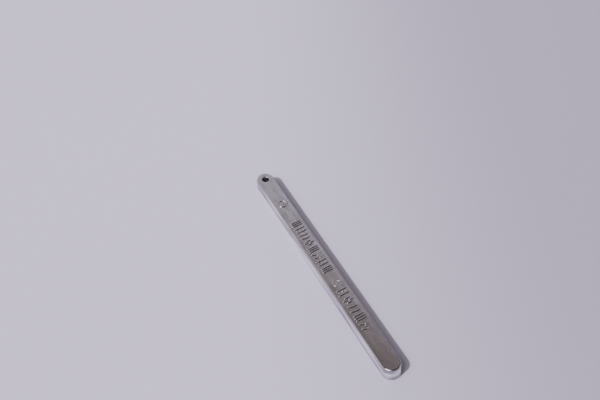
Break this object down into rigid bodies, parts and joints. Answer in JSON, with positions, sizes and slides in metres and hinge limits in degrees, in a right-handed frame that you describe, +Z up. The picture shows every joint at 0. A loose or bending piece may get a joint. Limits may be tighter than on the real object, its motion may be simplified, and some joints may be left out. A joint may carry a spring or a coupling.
{
  "type": "solder bar",
  "caption": "Long cast bar of tin solder alloy with round ends, drafted walls, rounded edges, a flared hanging hole near one end, and a plain raised ring and two rows of plain raised ornaments on its upper face.",
  "frame": {"origin": "middle of the wide face that the bar lies on", "axes": "+X along the bar from the holed end to the plain end, +Y across it, +Z up out of the upper face"},
  "size_m": [0.3298, 0.021, 0.0163],
  "materials": {
    "solder_alloy": null
  },
  "bodies": {
    "root": {"solder_bar": "solder_alloy"}
  },
  "joints": []
}
